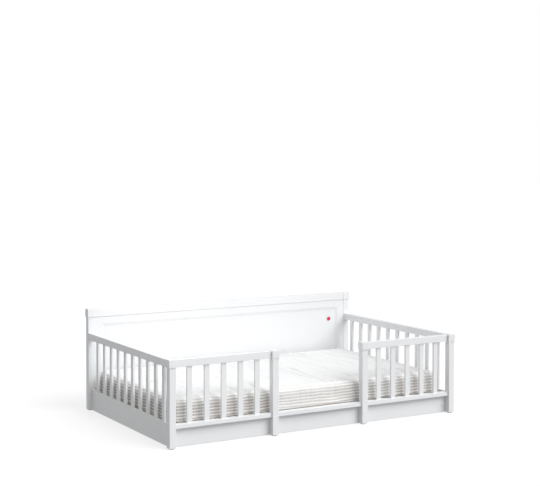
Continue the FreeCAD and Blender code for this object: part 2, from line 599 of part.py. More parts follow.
def make_mattress():
    """A plain mattress, just clear of the slats: rounded corners, a soft top edge, a tighter bottom edge."""
    low = ["-dims.mattress_length / 2 - dims.mattress_shift",
           "-dims.mattress_width / 2 - dims.mattress_forward",
           "dims.slat_top + dims.mattress_clearance"]
    size = ["dims.mattress_length", "dims.mattress_width", "dims.mattress_height"]
    body, last = padded_body("mattress", low, size)
    height = number("dims.mattress_height")
    hair = height / 1000
    roundings = (("corners", hair, height - hair, "dims.mattress_corner"),
                 ("top_edge", height - hair, height + hair, "dims.mattress_top_round"),
                 ("bottom_edge", -hair, hair, "dims.mattress_bottom_round"))
    for label, lowest, highest, radius in roundings:
        doc.recompute()
        names = edges_between(last.Shape, lowest, highest)
        rounded = body.newObject("PartDesign::Fillet", "mattress_" + label)
        rounded.Base = (last, names)
        rounded.setExpression("Radius", radius)
        last = rounded
    body.Tip = last


# ---- assembly, checks and export ----------------------------------------------------------------------

def finish_pieces():
    """Cuts the mortises, grooves and bores, gathers the fittings and names every piece."""
    for name, solids in fittings.items():
        kind = "MultiFuse" if name.endswith("screws") else "Compound"
        blanks[name] = group(kind, name + "_set", solids)
    pieces = {}
    for name, blank in sorted(blanks.items()):
        piece = blank
        if name in cutters:
            tools = cutters[name]
            piece = doc.addObject("Part::Cut", name)
            piece.Base = blank
            piece.Tool = tools[0] if len(tools) == 1 else group("MultiFuse", name + "_tools", tools)
        piece.Label = name
        pieces[name] = piece
    doc.recompute()
    return pieces


def check_pieces(pieces):
    """Stops if any object failed to compute or any piece isn't a valid solid."""
    for thing in doc.Objects:
        if "Invalid" in thing.State or "Error" in thing.State:
            raise RuntimeError(f"{thing.Label} did not compute: {thing.State}")
    for name, piece in pieces.items():
        shape = piece.Shape
        if shape.isNull() or not shape.isValid() or not shape.Solids:
            raise RuntimeError(f"{name} has no valid solid")


def export_pieces(pieces):
    """Writes each piece to its own STEP file."""
    os.makedirs("parts", exist_ok=True)
    for name, piece in pieces.items():
        piece.Shape.exportStep(os.path.join("parts", name + ".step"))


sheet = make_sheet()
make_posts()
for end_side, end_sign in SIDES:
    make_front_guard(end_side, end_sign)
    make_end(end_side, end_sign)
make_front_middle()
make_back()
make_badge()
make_ledger("front", -1)
make_ledger("back", 1)
make_slats()
make_centre_beam()
make_mattress()
all_pieces = finish_pieces()
check_pieces(all_pieces)
export_pieces(all_pieces)
whole = Part.makeCompound([piece.Shape for piece in all_pieces.values()])
print(len(all_pieces), "pieces,", len(whole.Solids), "solids, box", whole.BoundBox)
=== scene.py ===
"""How the low toddler bed looks: painted wood frame, bare pine base, striped soft mattress, round badge.

The two pieces made here, mattress and badge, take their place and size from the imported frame. The order
is: named sizes, node helpers, one function per material, mattress, badge, stage, and the list of calls.
"""

import math

import bmesh
import bpy
import numpy as np
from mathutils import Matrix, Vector


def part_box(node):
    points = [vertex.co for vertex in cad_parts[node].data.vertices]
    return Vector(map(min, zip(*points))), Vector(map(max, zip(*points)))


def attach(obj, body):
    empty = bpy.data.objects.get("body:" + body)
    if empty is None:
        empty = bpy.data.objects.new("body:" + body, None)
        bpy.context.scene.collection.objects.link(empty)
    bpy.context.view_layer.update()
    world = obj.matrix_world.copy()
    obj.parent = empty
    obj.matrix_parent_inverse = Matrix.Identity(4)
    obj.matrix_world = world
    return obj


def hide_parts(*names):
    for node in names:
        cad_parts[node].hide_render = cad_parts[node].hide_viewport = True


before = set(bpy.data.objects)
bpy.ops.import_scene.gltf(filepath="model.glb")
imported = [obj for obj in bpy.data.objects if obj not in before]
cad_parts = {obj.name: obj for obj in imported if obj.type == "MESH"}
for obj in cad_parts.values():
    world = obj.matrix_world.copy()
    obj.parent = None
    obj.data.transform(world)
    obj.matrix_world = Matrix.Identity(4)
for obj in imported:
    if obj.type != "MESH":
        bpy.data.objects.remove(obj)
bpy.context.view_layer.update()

# ---------------------------------------------------------------- camera and light, metres and degrees
CAMERA_PLACE = (-4.0506, -7.0558, 1.7125)
CAMERA_TILT = 88.566
CAMERA_TURN = -29.907
CAMERA_LENS = 81.48
SENSOR_WIDTH = 36.0
CAMERA_SHIFT = -0.1065

KEY_FROM = (0.65, -1.0, 1.13)
KEY_SPREAD = 42.0
KEY_STRENGTH = 2.24
SKY_ABOVE = 0.64
SKY_BELOW = 0.37
SKY_TILT = 0.27
INNER_PLACE = (-0.95, -0.2, 1.2)
INNER_AIM = (0.9, -0.45, 0.25)
INNER_SIZE = (1.6, 0.8)
INNER_POWER = 3.4
FLOOR_GLOW = 0.7
FLOOR_RADIUS = 60.0

# ---------------------------------------------------------------- shared numbers
WHITE = (1.0, 1.0, 1.0, 1.0)
MOST_NOISE = (0.3, 0.7)  # nearly all values of a noise texture
HAIR = 1e-4  # a length too small to see, metres

# ---------------------------------------------------------------- mattress, metres
INSET_ALONG = 0.005
INSET_ACROSS = 0.001
TOP_INSET = 0.005
CORNER_ROUNDING = 0.050
TOP_ROUNDING = 0.042
BOTTOM_ROUNDING = 0.005
VOXEL = 0.016
CLOTH_PRESSURE = 4.0
CLOTH_QUALITY = 5
CLOTH_FRAMES = 20
PINNED_HEIGHT = 0.008
SWELL_CAP = 0.006
SEAM_HEIGHT = 0.142

# ---------------------------------------------------------------- stripes of the mattress border
# Pitches, wanders, places and edges are in metres. A share of 1 is full greige, and 0 is white.
# An edge is the stretch over which an effect comes in or goes out.
STRIPE_PITCH = 0.0186
SLOW_WANDER = 0.004
QUICK_WANDER = 0.0013
TUCK_PITCH = 0.021
TUCK_WANDER = 0.03
TUCK_SHARE = 0.72
# Painted light: in the opening of the front guard the stripes are made paler, where more light reaches the
# border.
FRONT_EDGE = (-0.1, 0.1)
ENTRY_MIDDLE = -0.045
ENTRY_EDGE = (0.19, 0.29)
ENTRY_PAINTED_LIGHT_LOSS = 0.42
# Painted light: towards the right end the stripes are made paler, where more light falls on the border.
RIGHT_EDGE = (0.2, 0.45)
RIGHT_PAINTED_LIGHT_SHARE = 0.82
SEAM_FADE = 0.05
SEAM_SHARE = 0.35

# ---------------------------------------------------------------- creases of the mattress cover, metres
# A pair holds the smallest and the largest random value. Gathers start at the seam, creases lie on top.
WRINKLE_SEED = 11
SLANT_SPREAD = 0.12
GATHER_MARGIN = 0.07
GATHER_SPACING = (0.065, 0.115)
GATHER_WIDTH = (0.009, 0.015)
GATHER_BEND = 0.25
LONG_SIDE_REACH = 0.42
LONG_SIDE_DEPTH = 0.0125
SHORT_SIDE_REACH = 0.22
SHORT_SIDE_DEPTH = 0.0060
CREASE_COUNT = 24
CREASE_MARGIN = 0.12
CREASE_MIDDLE = (-0.25, 0.42)
CREASE_REACH = (0.12, 0.26)
CREASE_WIDTH = (0.009, 0.016)
CREASE_DEPTH = (0.0035, 0.0090)
CREASE_BEND = 0.3
ROLL_INWARD = 0.095
ROLL_WIDTH = 0.040
ROLL_DEPTH = 0.0035
FRONT_ROLL_DEPTH = 0.0060
LUMP_HEIGHT = 0.0013
SEAM_DIP = 0.0022
SEAM_DIP_WIDTH = 0.005

# ---------------------------------------------------------------- grain: words in the names of boards
UPRIGHT_WORDS = ("post_", "spindle", "stile", "centre_leg")
CROSSWAYS_WORDS = ("end_top_rail", "end_board", "base_slats", "beam_end_blocks")


# ---------------------------------------------------------------- node helpers
class Nodes:
    """The shader nodes of a material or a world, and short ways to add to them."""

    def __init__(self, owner):
        owner.use_nodes = True
        self.tree = owner.node_tree
        self.tree.nodes.clear()

    def add(self, kind):
        """A new shader node of that kind."""
        return self.tree.nodes.new("ShaderNode" + kind)

    def join(self, source, target):
        """Links an output to an input."""
        self.tree.links.new(source, target)

    def feed(self, socket, value):
        """Sets a socket from another node's output, or from a plain number."""
        if isinstance(value, (int, float)):
            socket.default_value = value
        else:
            self.join(value, socket)

    def maths(self, operation, first, second=0.0):
        """The result of one of Blender's maths operations."""
        node = self.add("Math")
        node.operation = operation
        self.feed(node.inputs[0], first)
        self.feed(node.inputs[1], second)
        return node.outputs["Value"]

    def times(self, first, *others):
        """The product of several values."""
        for other in others:
            first = self.maths("MULTIPLY", first, other)
        return first

    def between(self, value, old, new=(0.0, 1.0)):
        """Value mapped from the range old to the range new, and held inside it."""
        node = self.add("MapRange")
        self.feed(node.inputs["Value"], value)
        for label, number in zip(("From Min", "From Max", "To Min", "To Max"), (*old, *new)):
            node.inputs[label].default_value = number
        return node.outputs["Result"]


class Finish(Nodes):
    """A material in the making: one Principled shader, and textures laid in the object's own space."""

    def __init__(self, name, **sockets):
        self.material = bpy.data.materials.new(name)
        super().__init__(self.material)
        output = self.add("OutputMaterial")
        self.shader = self.add("BsdfPrincipled")
        self.join(self.shader.outputs["BSDF"], output.inputs["Surface"])
        for socket, value in sockets.items():
            self.shader.inputs[socket.replace("_", " ")].default_value = value
        self.place = self.add("TexCoord").outputs["Object"]

    def stretched(self, scale):
        """The object's own coordinates, multiplied by one number per axis."""
        node = self.add("Mapping")
        node.inputs["Scale"].default_value = scale
        self.join(self.place, node.inputs["Vector"])
        return node.outputs["Vector"]

    def axis(self, letter):
        """The object's own coordinate along one axis."""
        node = self.add("SeparateXYZ")
        self.join(self.place, node.inputs["Vector"])
        return node.outputs[letter]

    def noise(self, scale, detail=2.0, vector=None):
        """Cloudy values round one half. Scale is in lumps per metre."""
        node = self.add("TexNoise")
        node.inputs["Scale"].default_value = scale
        node.inputs["Detail"].default_value = detail
        self.join(vector or self.place, node.inputs["Vector"])
        return node.outputs["Fac"]

    def cells(self, scale, vector=None):
        """The distance to the nearest of many scattered points."""
        node = self.add("TexVoronoi")
        node.inputs["Scale"].default_value = scale
        self.join(vector or self.place, node.inputs["Vector"])
        return node.outputs["Distance"]

    def waves(self, position, pitch):
        """A smooth wave from 0 to 1 that repeats every pitch metres of position."""
        turned = self.maths("MULTIPLY", position, 2 * math.pi / pitch)
        return self.between(self.maths("SINE", turned), (-1.0, 1.0))

    def colours(self, value, *stops):
        """A colour for each value, from (position, (red, green, blue)) stops."""
        node = self.add("ValToRGB")
        ramp = node.color_ramp
        while len(ramp.elements) < len(stops):
            ramp.elements.new(0.5)
        for element, (position, colour) in zip(ramp.elements, stops):
            element.position = position
            element.color = (*colour, 1.0)
        self.feed(node.inputs["Fac"], value)
        return node.outputs["Color"]

    def blend(self, share, first, second, way="MIX"):
        """Two colours mixed by a share, in Blender's blend mode way."""
        node = self.add("Mix")
        node.data_type = "RGBA"
        node.blend_type = way
        sockets = {socket.identifier: socket for socket in node.inputs}
        self.feed(sockets["Factor_Float"], share)
        self.join(first, sockets["A_Color"])
        self.join(second, sockets["B_Color"])
        return next(socket for socket in node.outputs if socket.identifier == "Result_Color")

    def relief(self, height, depth, under=None):
        """A bumpy normal that deep in metres, on top of the one given as under."""
        node = self.add("Bump")
        node.inputs["Strength"].default_value = 1.0
        node.inputs["Distance"].default_value = depth
        self.join(height, node.inputs["Height"])
        if under is not None:
            self.join(under, node.inputs["Normal"])
        return node.outputs["Normal"]

    def done(self, colour, roughness, normal):
        """Joins colour, roughness and relief to the shader, and returns the material."""
        self.join(colour, self.shader.inputs["Base Color"])
        self.join(roughness, self.shader.inputs["Roughness"])
        self.join(normal, self.shader.inputs["Normal"])
        return self.material


def along_axis(letter, along, across):
    """One number per axis: along for the named axis, and across for the other two."""
    return tuple(along if axis == letter else across for axis in "xyz")


# ---------------------------------------------------------------- materials
def white_paint(name, grain):
    """Satin white lacquer: fine sprayed skin, and the wood's grain just showing through it."""
    finish = Finish(name, Coat_Weight=0.12, Coat_Roughness=0.25)
    fibres = finish.noise(1.0, 3.0, finish.stretched(along_axis(grain, 12.0, 520.0)))
    sprayed_skin = finish.noise(380.0, 1.0)
    clouds = finish.noise(2.3, 2.0)
    shades = finish.colours(
        clouds,
        (0.30, (0.805, 0.818, 0.832)),
        (0.70, (0.828, 0.838, 0.848)),
    )
    threads = finish.colours(fibres, (0.25, (0.988, 0.988, 0.988)), (0.55, (1.0, 1.0, 1.0)))
    colour = finish.blend(1.0, shades, threads, "MULTIPLY")
    roughness = finish.between(finish.noise(26.0, 3.0), MOST_NOISE, (0.34, 0.46))
    normal = finish.relief(sprayed_skin, 0.00004, finish.relief(fibres, 0.00003))
    return finish.done(colour, roughness, normal)


def bare_pine(name, grain):
    """Planed, unpainted softwood: wandering growth rings, fine fibres and a few small knots."""
    finish = Finish(name)
    across = "X" if grain != "x" else "Z"
    wander = finish.noise(5.0, 3.0, finish.stretched(along_axis(grain, 0.22, 1.0)))
    ring_place = finish.maths("ADD", finish.axis(across), finish.maths("MULTIPLY", wander, 0.09))
    rings = finish.waves(ring_place, 0.012)
    fibres = finish.noise(1.0, 2.0, finish.stretched(along_axis(grain, 16.0, 750.0)))
    knots = finish.cells(1.0, finish.stretched(along_axis(grain, 1.7, 9.0)))
    wood = finish.colours(
        rings,
        (0.10, (0.72, 0.53, 0.32)),
        (0.75, (0.63, 0.43, 0.23)),
        (1.00, (0.52, 0.33, 0.16)),
    )
    threads = finish.colours(fibres, (0.30, (0.86, 0.84, 0.80)), (0.65, (1.0, 1.0, 1.0)))
    knotted = finish.colours(knots, (0.05, (0.34, 0.20, 0.12)), (0.12, (1.0, 1.0, 1.0)))
    colour = finish.blend(1.0, wood, threads, "MULTIPLY")
    colour = finish.blend(0.8, colour, knotted, "MULTIPLY")
    roughness = finish.between(fibres, MOST_NOISE, (0.55, 0.72))
    normal = finish.relief(rings, 0.00012, finish.relief(fibres, 0.00025))
    return finish.done(colour, roughness, normal)


def beech_dowel(name):
    """Turned beech: even pinkish wood with short dark flecks."""
    finish = Finish(name)
    fibres = finish.noise(1.0, 2.0, finish.stretched((900.0, 900.0, 30.0)))
    flecks = finish.cells(1.0, finish.stretched((800.0, 800.0, 160.0)))
    wood = finish.colours(fibres, (0.30, (0.55, 0.36, 0.22)), (0.70, (0.68, 0.48, 0.32)))
    marks = finish.colours(flecks, (0.10, (0.62, 0.50, 0.42)), (0.22, (1.0, 1.0, 1.0)))
    colour = finish.blend(1.0, wood, marks, "MULTIPLY")
    roughness = finish.between(fibres, MOST_NOISE, (0.50, 0.66))
    return finish.done(colour, roughness, finish.relief(fibres, 0.0002))


def zinc_steel(name):
    """Bright zinc-plated steel, with fine drawn lines and a faint warm and blue tint."""
    finish = Finish(name, Metallic=1.0)
    lines = finish.noise(1.0, 2.0, finish.stretched((60.0, 60.0, 1400.0)))
    tint = finish.colours(finish.noise(70.0), (0.35, (0.70, 0.71, 0.74)), (0.65, (0.76, 0.74, 0.68)))
    roughness = finish.between(lines, MOST_NOISE, (0.24, 0.40))
    return finish.done(tint, roughness, finish.relief(lines, 0.00004))


def zinc_alloy(name):
    """Die-cast cam: duller metal with a fine cast skin."""
    finish = Finish(name, Metallic=1.0)
    skin = finish.noise(900.0, 3.0)
    tint = finish.colours(skin, (0.30, (0.50, 0.51, 0.53)), (0.70, (0.60, 0.61, 0.62)))
    roughness = finish.between(skin, MOST_NOISE, (0.44, 0.60))
    return finish.done(tint, roughness, finish.relief(skin, 0.00008))


def glide_plastic(name):
    """Dark nylon foot pad, moulded with a fine pitted skin and scuffed underneath."""
    finish = Finish(name)
    pits = finish.cells(1100.0)
    scuffs = finish.noise(1.0, 3.0, finish.stretched((90.0, 600.0, 90.0)))
    colour = finish.colours(scuffs, (0.35, (0.016, 0.016, 0.017)), (0.65, (0.035, 0.035, 0.036)))
    roughness = finish.between(scuffs, MOST_NOISE, (0.48, 0.66))
    return finish.done(colour, roughness, finish.relief(pits, 0.0001))


def badge_plastic(name):
    """Glossy red moulded plastic with a trace of flow marks."""
    finish = Finish(name, Coat_Weight=0.5, Coat_Roughness=0.12)
    flow = finish.noise(120.0, 2.0, finish.stretched((1.0, 1.0, 0.4)))
    colour = finish.colours(flow, (0.30, (0.60, 0.022, 0.026)), (0.70, (0.72, 0.040, 0.042)))
    roughness = finish.between(flow, MOST_NOISE, (0.26, 0.36))
    return finish.done(colour, roughness, finish.relief(finish.noise(900.0), 0.00003))


def border_place(finish, top_height):
    """How far up the border a point lies, measured along the cloth as it rolls over the top edge."""
    height = finish.axis("Z")
    roll_start = top_height - TOP_ROUNDING
    upright = finish.maths("MINIMUM", height, roll_start)
    share = finish.between(height, (roll_start, top_height), (0.0, 0.999))
    rolled = finish.maths("MULTIPLY", finish.maths("ARCSINE", share), TOP_ROUNDING)
    return finish.maths("ADD", upright, rolled)


def wavy_bands(finish, place):
    """The soft stripes of the border, which wander a little up and down."""
    slow_drift = finish.between(finish.noise(2.6, 1.0), MOST_NOISE, (-SLOW_WANDER, SLOW_WANDER))
    quick_drift = finish.between(finish.noise(14.0, 1.0), MOST_NOISE, (-QUICK_WANDER, QUICK_WANDER))
    drift = finish.maths("ADD", slow_drift, quick_drift)
    return finish.between(finish.waves(finish.maths("ADD", place, drift), STRIPE_PITCH), (0.22, 0.72))


def small_tucks(finish):
    """Short upright tucks along the border, which thin the stripes."""
    along = finish.maths("ADD", finish.axis("X"), finish.axis("Y"))
    along = finish.maths("ADD", along, finish.times(finish.noise(9.0, 2.0), TUCK_WANDER))
    return finish.between(finish.waves(along, TUCK_PITCH), (0.84, 1.0), (1.0, TUCK_SHARE))


def greige_share(finish, bands, seam_height):
    """How greige each place is: less in the opening of the front guard and towards the right end as painted
    light, and less close under the seam.
    """
    # Painted light: the stripes are made paler in the opening of the front guard, where more light reaches
    # the border.
    distance = finish.maths("ABSOLUTE", finish.maths("SUBTRACT", finish.axis("X"), ENTRY_MIDDLE))
    in_lit_opening = finish.between(distance, ENTRY_EDGE, (1.0, 0.0))
    front_painted_light = finish.between(finish.axis("Y"), FRONT_EDGE, (ENTRY_PAINTED_LIGHT_LOSS, 0.0))
    opening_painted_light = finish.maths("SUBTRACT", 1.0, finish.times(in_lit_opening, front_painted_light))
    # Painted light: the stripes are made paler towards the right end, where more light falls.
    right = finish.between(finish.axis("X"), RIGHT_EDGE, (1.0, RIGHT_PAINTED_LIGHT_SHARE))
    under_seam = (seam_height - SEAM_FADE, seam_height)
    seam = finish.between(finish.axis("Z"), under_seam, (1.0, SEAM_SHARE))
    return finish.times(bands, small_tucks(finish), opening_painted_light, right, seam)


def fold_streaks(finish):
    """Fine creases on the top panel, long from front to back and only in some places: relief and painted
    shade.
    """
    streaks = finish.noise(1.0, 2.0, finish.stretched((26.0, 3.6, 1.0)))
    patches = finish.between(finish.noise(2.2, 1.0), (0.42, 0.62), (0.35, 1.0))
    return finish.maths("MULTIPLY", finish.between(streaks, (0.55, 0.74)), patches)


def knit(finish):
    """The tiny loops of the knitted cloth."""
    yarn_x = finish.waves(finish.axis("X"), 0.0021)
    yarn_y = finish.waves(finish.axis("Y"), 0.0021)
    yarn_z = finish.waves(finish.axis("Z"), 0.0016)
    return finish.maths("ADD", finish.times(yarn_x, yarn_y), yarn_z)


def mattress_cover(name, seam_height, top_height):
    """Knitted cover: white above the seam with painted shade in its creases, and a border of soft greige
    stripes below.
    """
    finish = Finish(name, Sheen_Weight=0.2, Sheen_Roughness=0.45)
    bands = wavy_bands(finish, border_place(finish, top_height))
    below_seam = finish.between(finish.axis("Z"), (seam_height - 0.012, seam_height - 0.001), (1.0, 0.0))
    fluff = finish.noise(700.0, 2.0)
    folds_and_painted_shade = fold_streaks(finish)

    smooth = finish.colours(fluff, (0.3, (0.785, 0.788, 0.793)), (0.7, (0.815, 0.817, 0.820)))
    # Painted shade: a darker copy of the panel's white, laid into the crease streaks.
    fold_painted_shade = finish.colours(fluff, (0.3, (0.610, 0.615, 0.622)), (0.7, (0.650, 0.654, 0.660)))
    white = finish.colours(fluff, (0.3, (0.865, 0.862, 0.856)), (0.7, (0.895, 0.892, 0.886)))
    greige = finish.colours(fluff, (0.3, (0.510, 0.475, 0.432)), (0.7, (0.565, 0.530, 0.487)))
    # Painted shade: the top panel's colour is darkened along the crease streaks.
    panel = finish.blend(folds_and_painted_shade, smooth, fold_painted_shade)
    border = finish.blend(greige_share(finish, bands, seam_height), white, greige)
    colour = finish.blend(below_seam, panel, border)
    roughness = finish.between(fluff, MOST_NOISE, (0.80, 0.94))

    ribs = finish.relief(finish.times(bands, below_seam), 0.0012)
    fold_height = finish.times(folds_and_painted_shade, finish.maths("SUBTRACT", below_seam, 1.0))
    ribs_and_folds = finish.relief(fold_height, 0.004, ribs)
    normal = finish.relief(fluff, 0.0002, finish.relief(knit(finish), 0.00022, ribs_and_folds))
    return finish.done(colour, roughness, normal)


def finish_cad_nodes():
    """Gives every carried-over CAD node its own finish, with the grain running along its boards."""
    grained = {maker.__name__: maker for maker in (white_paint, bare_pine)}
    plain_makers = (beech_dowel, zinc_steel, zinc_alloy, glide_plastic, badge_plastic)
    plain = {maker.__name__: maker for maker in plain_makers}
    made = {}
    for name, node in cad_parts.items():
        grain = grain_of(name)
        for slot in node.material_slots:
            key = slot.material.name
            title = f"{key}_{grain}"
            if key in grained and title not in made:
                made[title] = grained[key](title, grain)
            if key in plain and title not in made:
                made[title] = plain[key](title)
            if title in made:
                slot.material = made[title]


def grain_of(name):
    """The axis that the wood of a node runs along, from the words in its name."""
    if any(word in name for word in UPRIGHT_WORDS):
        return "z"
    if any(word in name for word in CROSSWAYS_WORDS):
        return "y"
    return "x"


# ---------------------------------------------------------------- mesh helpers
def add_object(name, mesh):
    """A new object in the scene."""
    piece = bpy.data.objects.new(name, mesh)
    bpy.context.scene.collection.objects.link(piece)
    return piece


def mesh_from(name, shape):
    """A mesh from a bmesh, which is freed."""
    mesh = bpy.data.meshes.new(name)
    shape.to_mesh(mesh)
    shape.free()
    return mesh


def shown_mesh(piece):
    """A new mesh of what the piece's modifiers make of it now."""
    graph = bpy.context.evaluated_depsgraph_get()
    return bpy.data.meshes.new_from_object(piece.evaluated_get(graph))


def bake_modifiers(piece):
    """Keeps what the piece's modifiers make of its mesh, and drops the modifiers."""
    mesh = shown_mesh(piece)
    piece.modifiers.clear()
    piece.data = mesh


def points_of(mesh):
    """The places of a mesh's points, one row each."""
    points = np.empty(len(mesh.vertices) * 3)
    mesh.vertices.foreach_get("co", points)
    return points.reshape(-1, 3)


def normals_of(mesh):
    """The directions that a mesh's points face, one row each."""
    normals = np.empty(len(mesh.vertices) * 3)
    mesh.vertex_normals.foreach_get("vector", normals)
    return normals.reshape(-1, 3)


def set_points(mesh, points):
    """Moves a mesh's points to new places."""
    mesh.vertices.foreach_set("co", points.ravel())
    mesh.update()


def smoothstep(value, low, high):
    """0 below low and 1 above high, with a smooth rise between."""
    share = np.clip((value - low) / (high - low), 0.0, 1.0)
    return share * share * (3.0 - 2.0 * share)


def bell(value, middle, width):
    """1 in the middle, falling smoothly to 0 on both sides."""
    return np.exp(-(((value - middle) / width) ** 2))


# ---------------------------------------------------------------- mattress
def bevel_edges(shape, chosen, offset, segments):
    """Rounds the edges of a bmesh whose two ends both pass a test."""
    edges = [edge for edge in shape.edges if chosen(*(vert.co for vert in edge.verts))]
    bmesh.ops.bevel(
        shape, geom=edges, offset=offset, segments=segments, profile=0.5, affect="EDGES"
    )


def mattress_blank(low, high):
    """The cover before it is filled: a rounded block a little smaller than the mattress."""
    shape = bmesh.new()
    bmesh.ops.create_cube(shape, size=1.0)
    inset = Vector((INSET_ALONG, INSET_ACROSS, 0.0))
    low, high = low + inset, high - inset - Vector((0.0, 0.0, TOP_INSET))
    bmesh.ops.scale(shape, verts=shape.verts, vec=high - low)
    bmesh.ops.translate(shape, verts=shape.verts, vec=(low + high) / 2)
    bevel_edges(shape, lambda a, b: abs(a.z - b.z) > HAIR, CORNER_ROUNDING, 8)
    bevel_edges(shape, lambda a, b: min(a.z, b.z) > high.z - HAIR, TOP_ROUNDING, 7)
    bevel_edges(shape, lambda a, b: max(a.z, b.z) < low.z + HAIR, BOTTOM_ROUNDING, 3)
    piece = add_object("mattress_cover", mesh_from("mattress_cover", shape))
    remesh = piece.modifiers.new("even_grid", "REMESH")
    remesh.mode = "VOXEL"
    remesh.voxel_size = VOXEL
    bake_modifiers(piece)
    return piece


def fill_with_air(piece, floor_height):
    """Blows the cover out like a filled one with cloth simulation. No point moves further than the cap."""
    start = points_of(piece.data)
    pinned = piece.vertex_groups.new(name="pinned")
    resting = np.nonzero(start[:, 2] < floor_height + PINNED_HEIGHT)[0]
    pinned.add(resting.tolist(), 1.0, "REPLACE")
    cloth = piece.modifiers.new("filling", "CLOTH")
    settings = cloth.settings
    settings.quality = CLOTH_QUALITY
    settings.use_pressure = True
    settings.uniform_pressure_force = CLOTH_PRESSURE
    settings.vertex_group_mass = pinned.name
    settings.effector_weights.gravity = 0.0
    for step in range(1, CLOTH_FRAMES + 1):
        bpy.context.scene.frame_set(step)
    moved = points_of(shown_mesh(piece)) - start
    piece.modifiers.clear()
    piece.vertex_groups.clear()
    bpy.context.scene.frame_set(1)
    length = np.maximum(np.linalg.norm(moved, axis=1, keepdims=True), 1e-9)
    set_points(piece.data, start + moved / length * SWELL_CAP * np.tanh(length / SWELL_CAP))


def round_once(piece):
    """One subdivision, so that the creases have points to stand on."""
    subdivision = piece.modifiers.new("rounder", "SUBSURF")
    subdivision.levels = 1
    subdivision.render_levels = 1
    bake_modifiers(piece)


def sides(points, low, high):
    """Each side of the mattress: its name, how far along it and in from it every point lies, its length."""
    x, y, _ = points.T
    yield "front", x - low.x, y - low.y, high.x - low.x
    yield "back", x - low.x, high.y - y, high.x - low.x
    yield "left", y - low.y, x - low.x, high.y - low.y
    yield "right", y - low.y, high.x - x, high.y - low.y


def on_top(points, seam):
    """1 for points on the top panel, and 0 for points below the seam."""
    return smoothstep(points[:, 2], seam - 0.004, seam + 0.003)


def crease(across, width):
    """The cross-section of one crease: a narrow valley between two low banks."""
    return 0.45 * bell(across, 0.0, 2.2 * width) - bell(across, 0.0, width)


def seam_gathers(points, low, high, seam):
    """Creases that the seam pulls into the cover: long and deep at the front and back, short at the ends."""
    random = np.random.default_rng(WRINKLE_SEED)
    height = np.zeros(len(points))
    strength = 0.3 + 0.7 * smoothstep(points[:, 2], seam - 0.03, seam + 0.004)
    strength = strength * smoothstep(points[:, 2], low.z + 0.02, low.z + 0.08)
    for side, along, inward, length in sides(points, low, high):
        is_long = side in ("front", "back")
        longest = LONG_SIDE_REACH if is_long else SHORT_SIDE_REACH
        deepest = LONG_SIDE_DEPTH if is_long else SHORT_SIDE_DEPTH
        place = GATHER_MARGIN
        while place < length - GATHER_MARGIN:
            reach = random.uniform(0.3, 1.0) * longest
            slant = random.normal(0.0, SLANT_SPREAD)
            bend = random.normal(0.0, GATHER_BEND)
            width = random.uniform(*GATHER_WIDTH)
            depth = random.uniform(0.35, 1.0) * deepest
            path = place + slant * inward + bend * inward**2
            fade = 1.0 - smoothstep(inward, 0.2 * reach, reach)
            height += depth * crease(along - path, width) * fade * strength
            place += random.uniform(*GATHER_SPACING)
    return height


def loose_creases(points, low, high, seam):
    """Long creases on the top panel that run from front to back and fade out at both ends."""
    random = np.random.default_rng(WRINKLE_SEED + 1)
    height = np.zeros(len(points))
    top = on_top(points, seam)
    free_length = high.x - low.x - 2 * CREASE_MARGIN
    for count in range(CREASE_COUNT):
        turn = count + random.uniform(0.1, 0.9)
        middle_x = low.x + CREASE_MARGIN + free_length * turn / CREASE_COUNT
        middle_y = random.uniform(*CREASE_MIDDLE)
        reach = random.uniform(*CREASE_REACH)
        slant = random.normal(0.0, SLANT_SPREAD)
        bend = random.normal(0.0, CREASE_BEND)
        depth = random.uniform(*CREASE_DEPTH)
        width = random.uniform(*CREASE_WIDTH)
        along = points[:, 1] - middle_y
        across = points[:, 0] - middle_x - slant * along - bend * along**2
        fade = 1.0 - smoothstep(np.abs(along), 0.3 * reach, reach)
        height += depth * crease(across, width) * fade * top
    return height


def edge_roll(points, low, high, seam):
    """The stiffer rim of the top: a shallow dip behind it, deepest along the front."""
    height = np.zeros(len(points))
    top = on_top(points, seam)
    for side, along, inward, length in sides(points, low, high):
        depth = FRONT_ROLL_DEPTH if side == "front" else ROLL_DEPTH
        unevenness = 0.65 + 0.35 * np.sin(9.0 * along + length)
        height -= depth * bell(inward, ROLL_INWARD, ROLL_WIDTH) * unevenness * top
    return height


def border_swell(points, low, seam):
    """The border below the seam: gently lumpy, and drawn in along the seam."""
    x, y, z = points.T
    on_side = smoothstep(z, low.z + 0.01, low.z + 0.05) * (1.0 - smoothstep(z, seam - 0.01, seam))
    lumps = np.sin(14.0 * x + 5.0 * y) + 0.6 * np.sin(31.0 * x - 9.0 * y + 40.0 * z)
    return LUMP_HEIGHT * lumps * on_side - SEAM_DIP * bell(z, seam, SEAM_DIP_WIDTH)


def make_mattress():
    """The soft mattress: filled cover with gathers at its top seam, flat where it rests on the slats."""
    low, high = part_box("mattress")
    seam = low.z + SEAM_HEIGHT
    piece = mattress_blank(low, high)
    fill_with_air(piece, low.z)
    round_once(piece)
    points = points_of(piece.data)
    height = seam_gathers(points, low, high, seam)
    height += loose_creases(points, low, high, seam)
    height += edge_roll(points, low, high, seam)
    height += border_swell(points, low, seam)
    points += normals_of(piece.data) * height[:, None]
    points[:, 2] = np.maximum(points[:, 2], low.z)
    set_points(piece.data, points)
    piece.data.shade_smooth()
    piece.data.materials.clear()
    piece.data.materials.append(mattress_cover("mattress_cover", seam, high.z - TOP_INSET))
    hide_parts("mattress")
    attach(piece, "mattress")


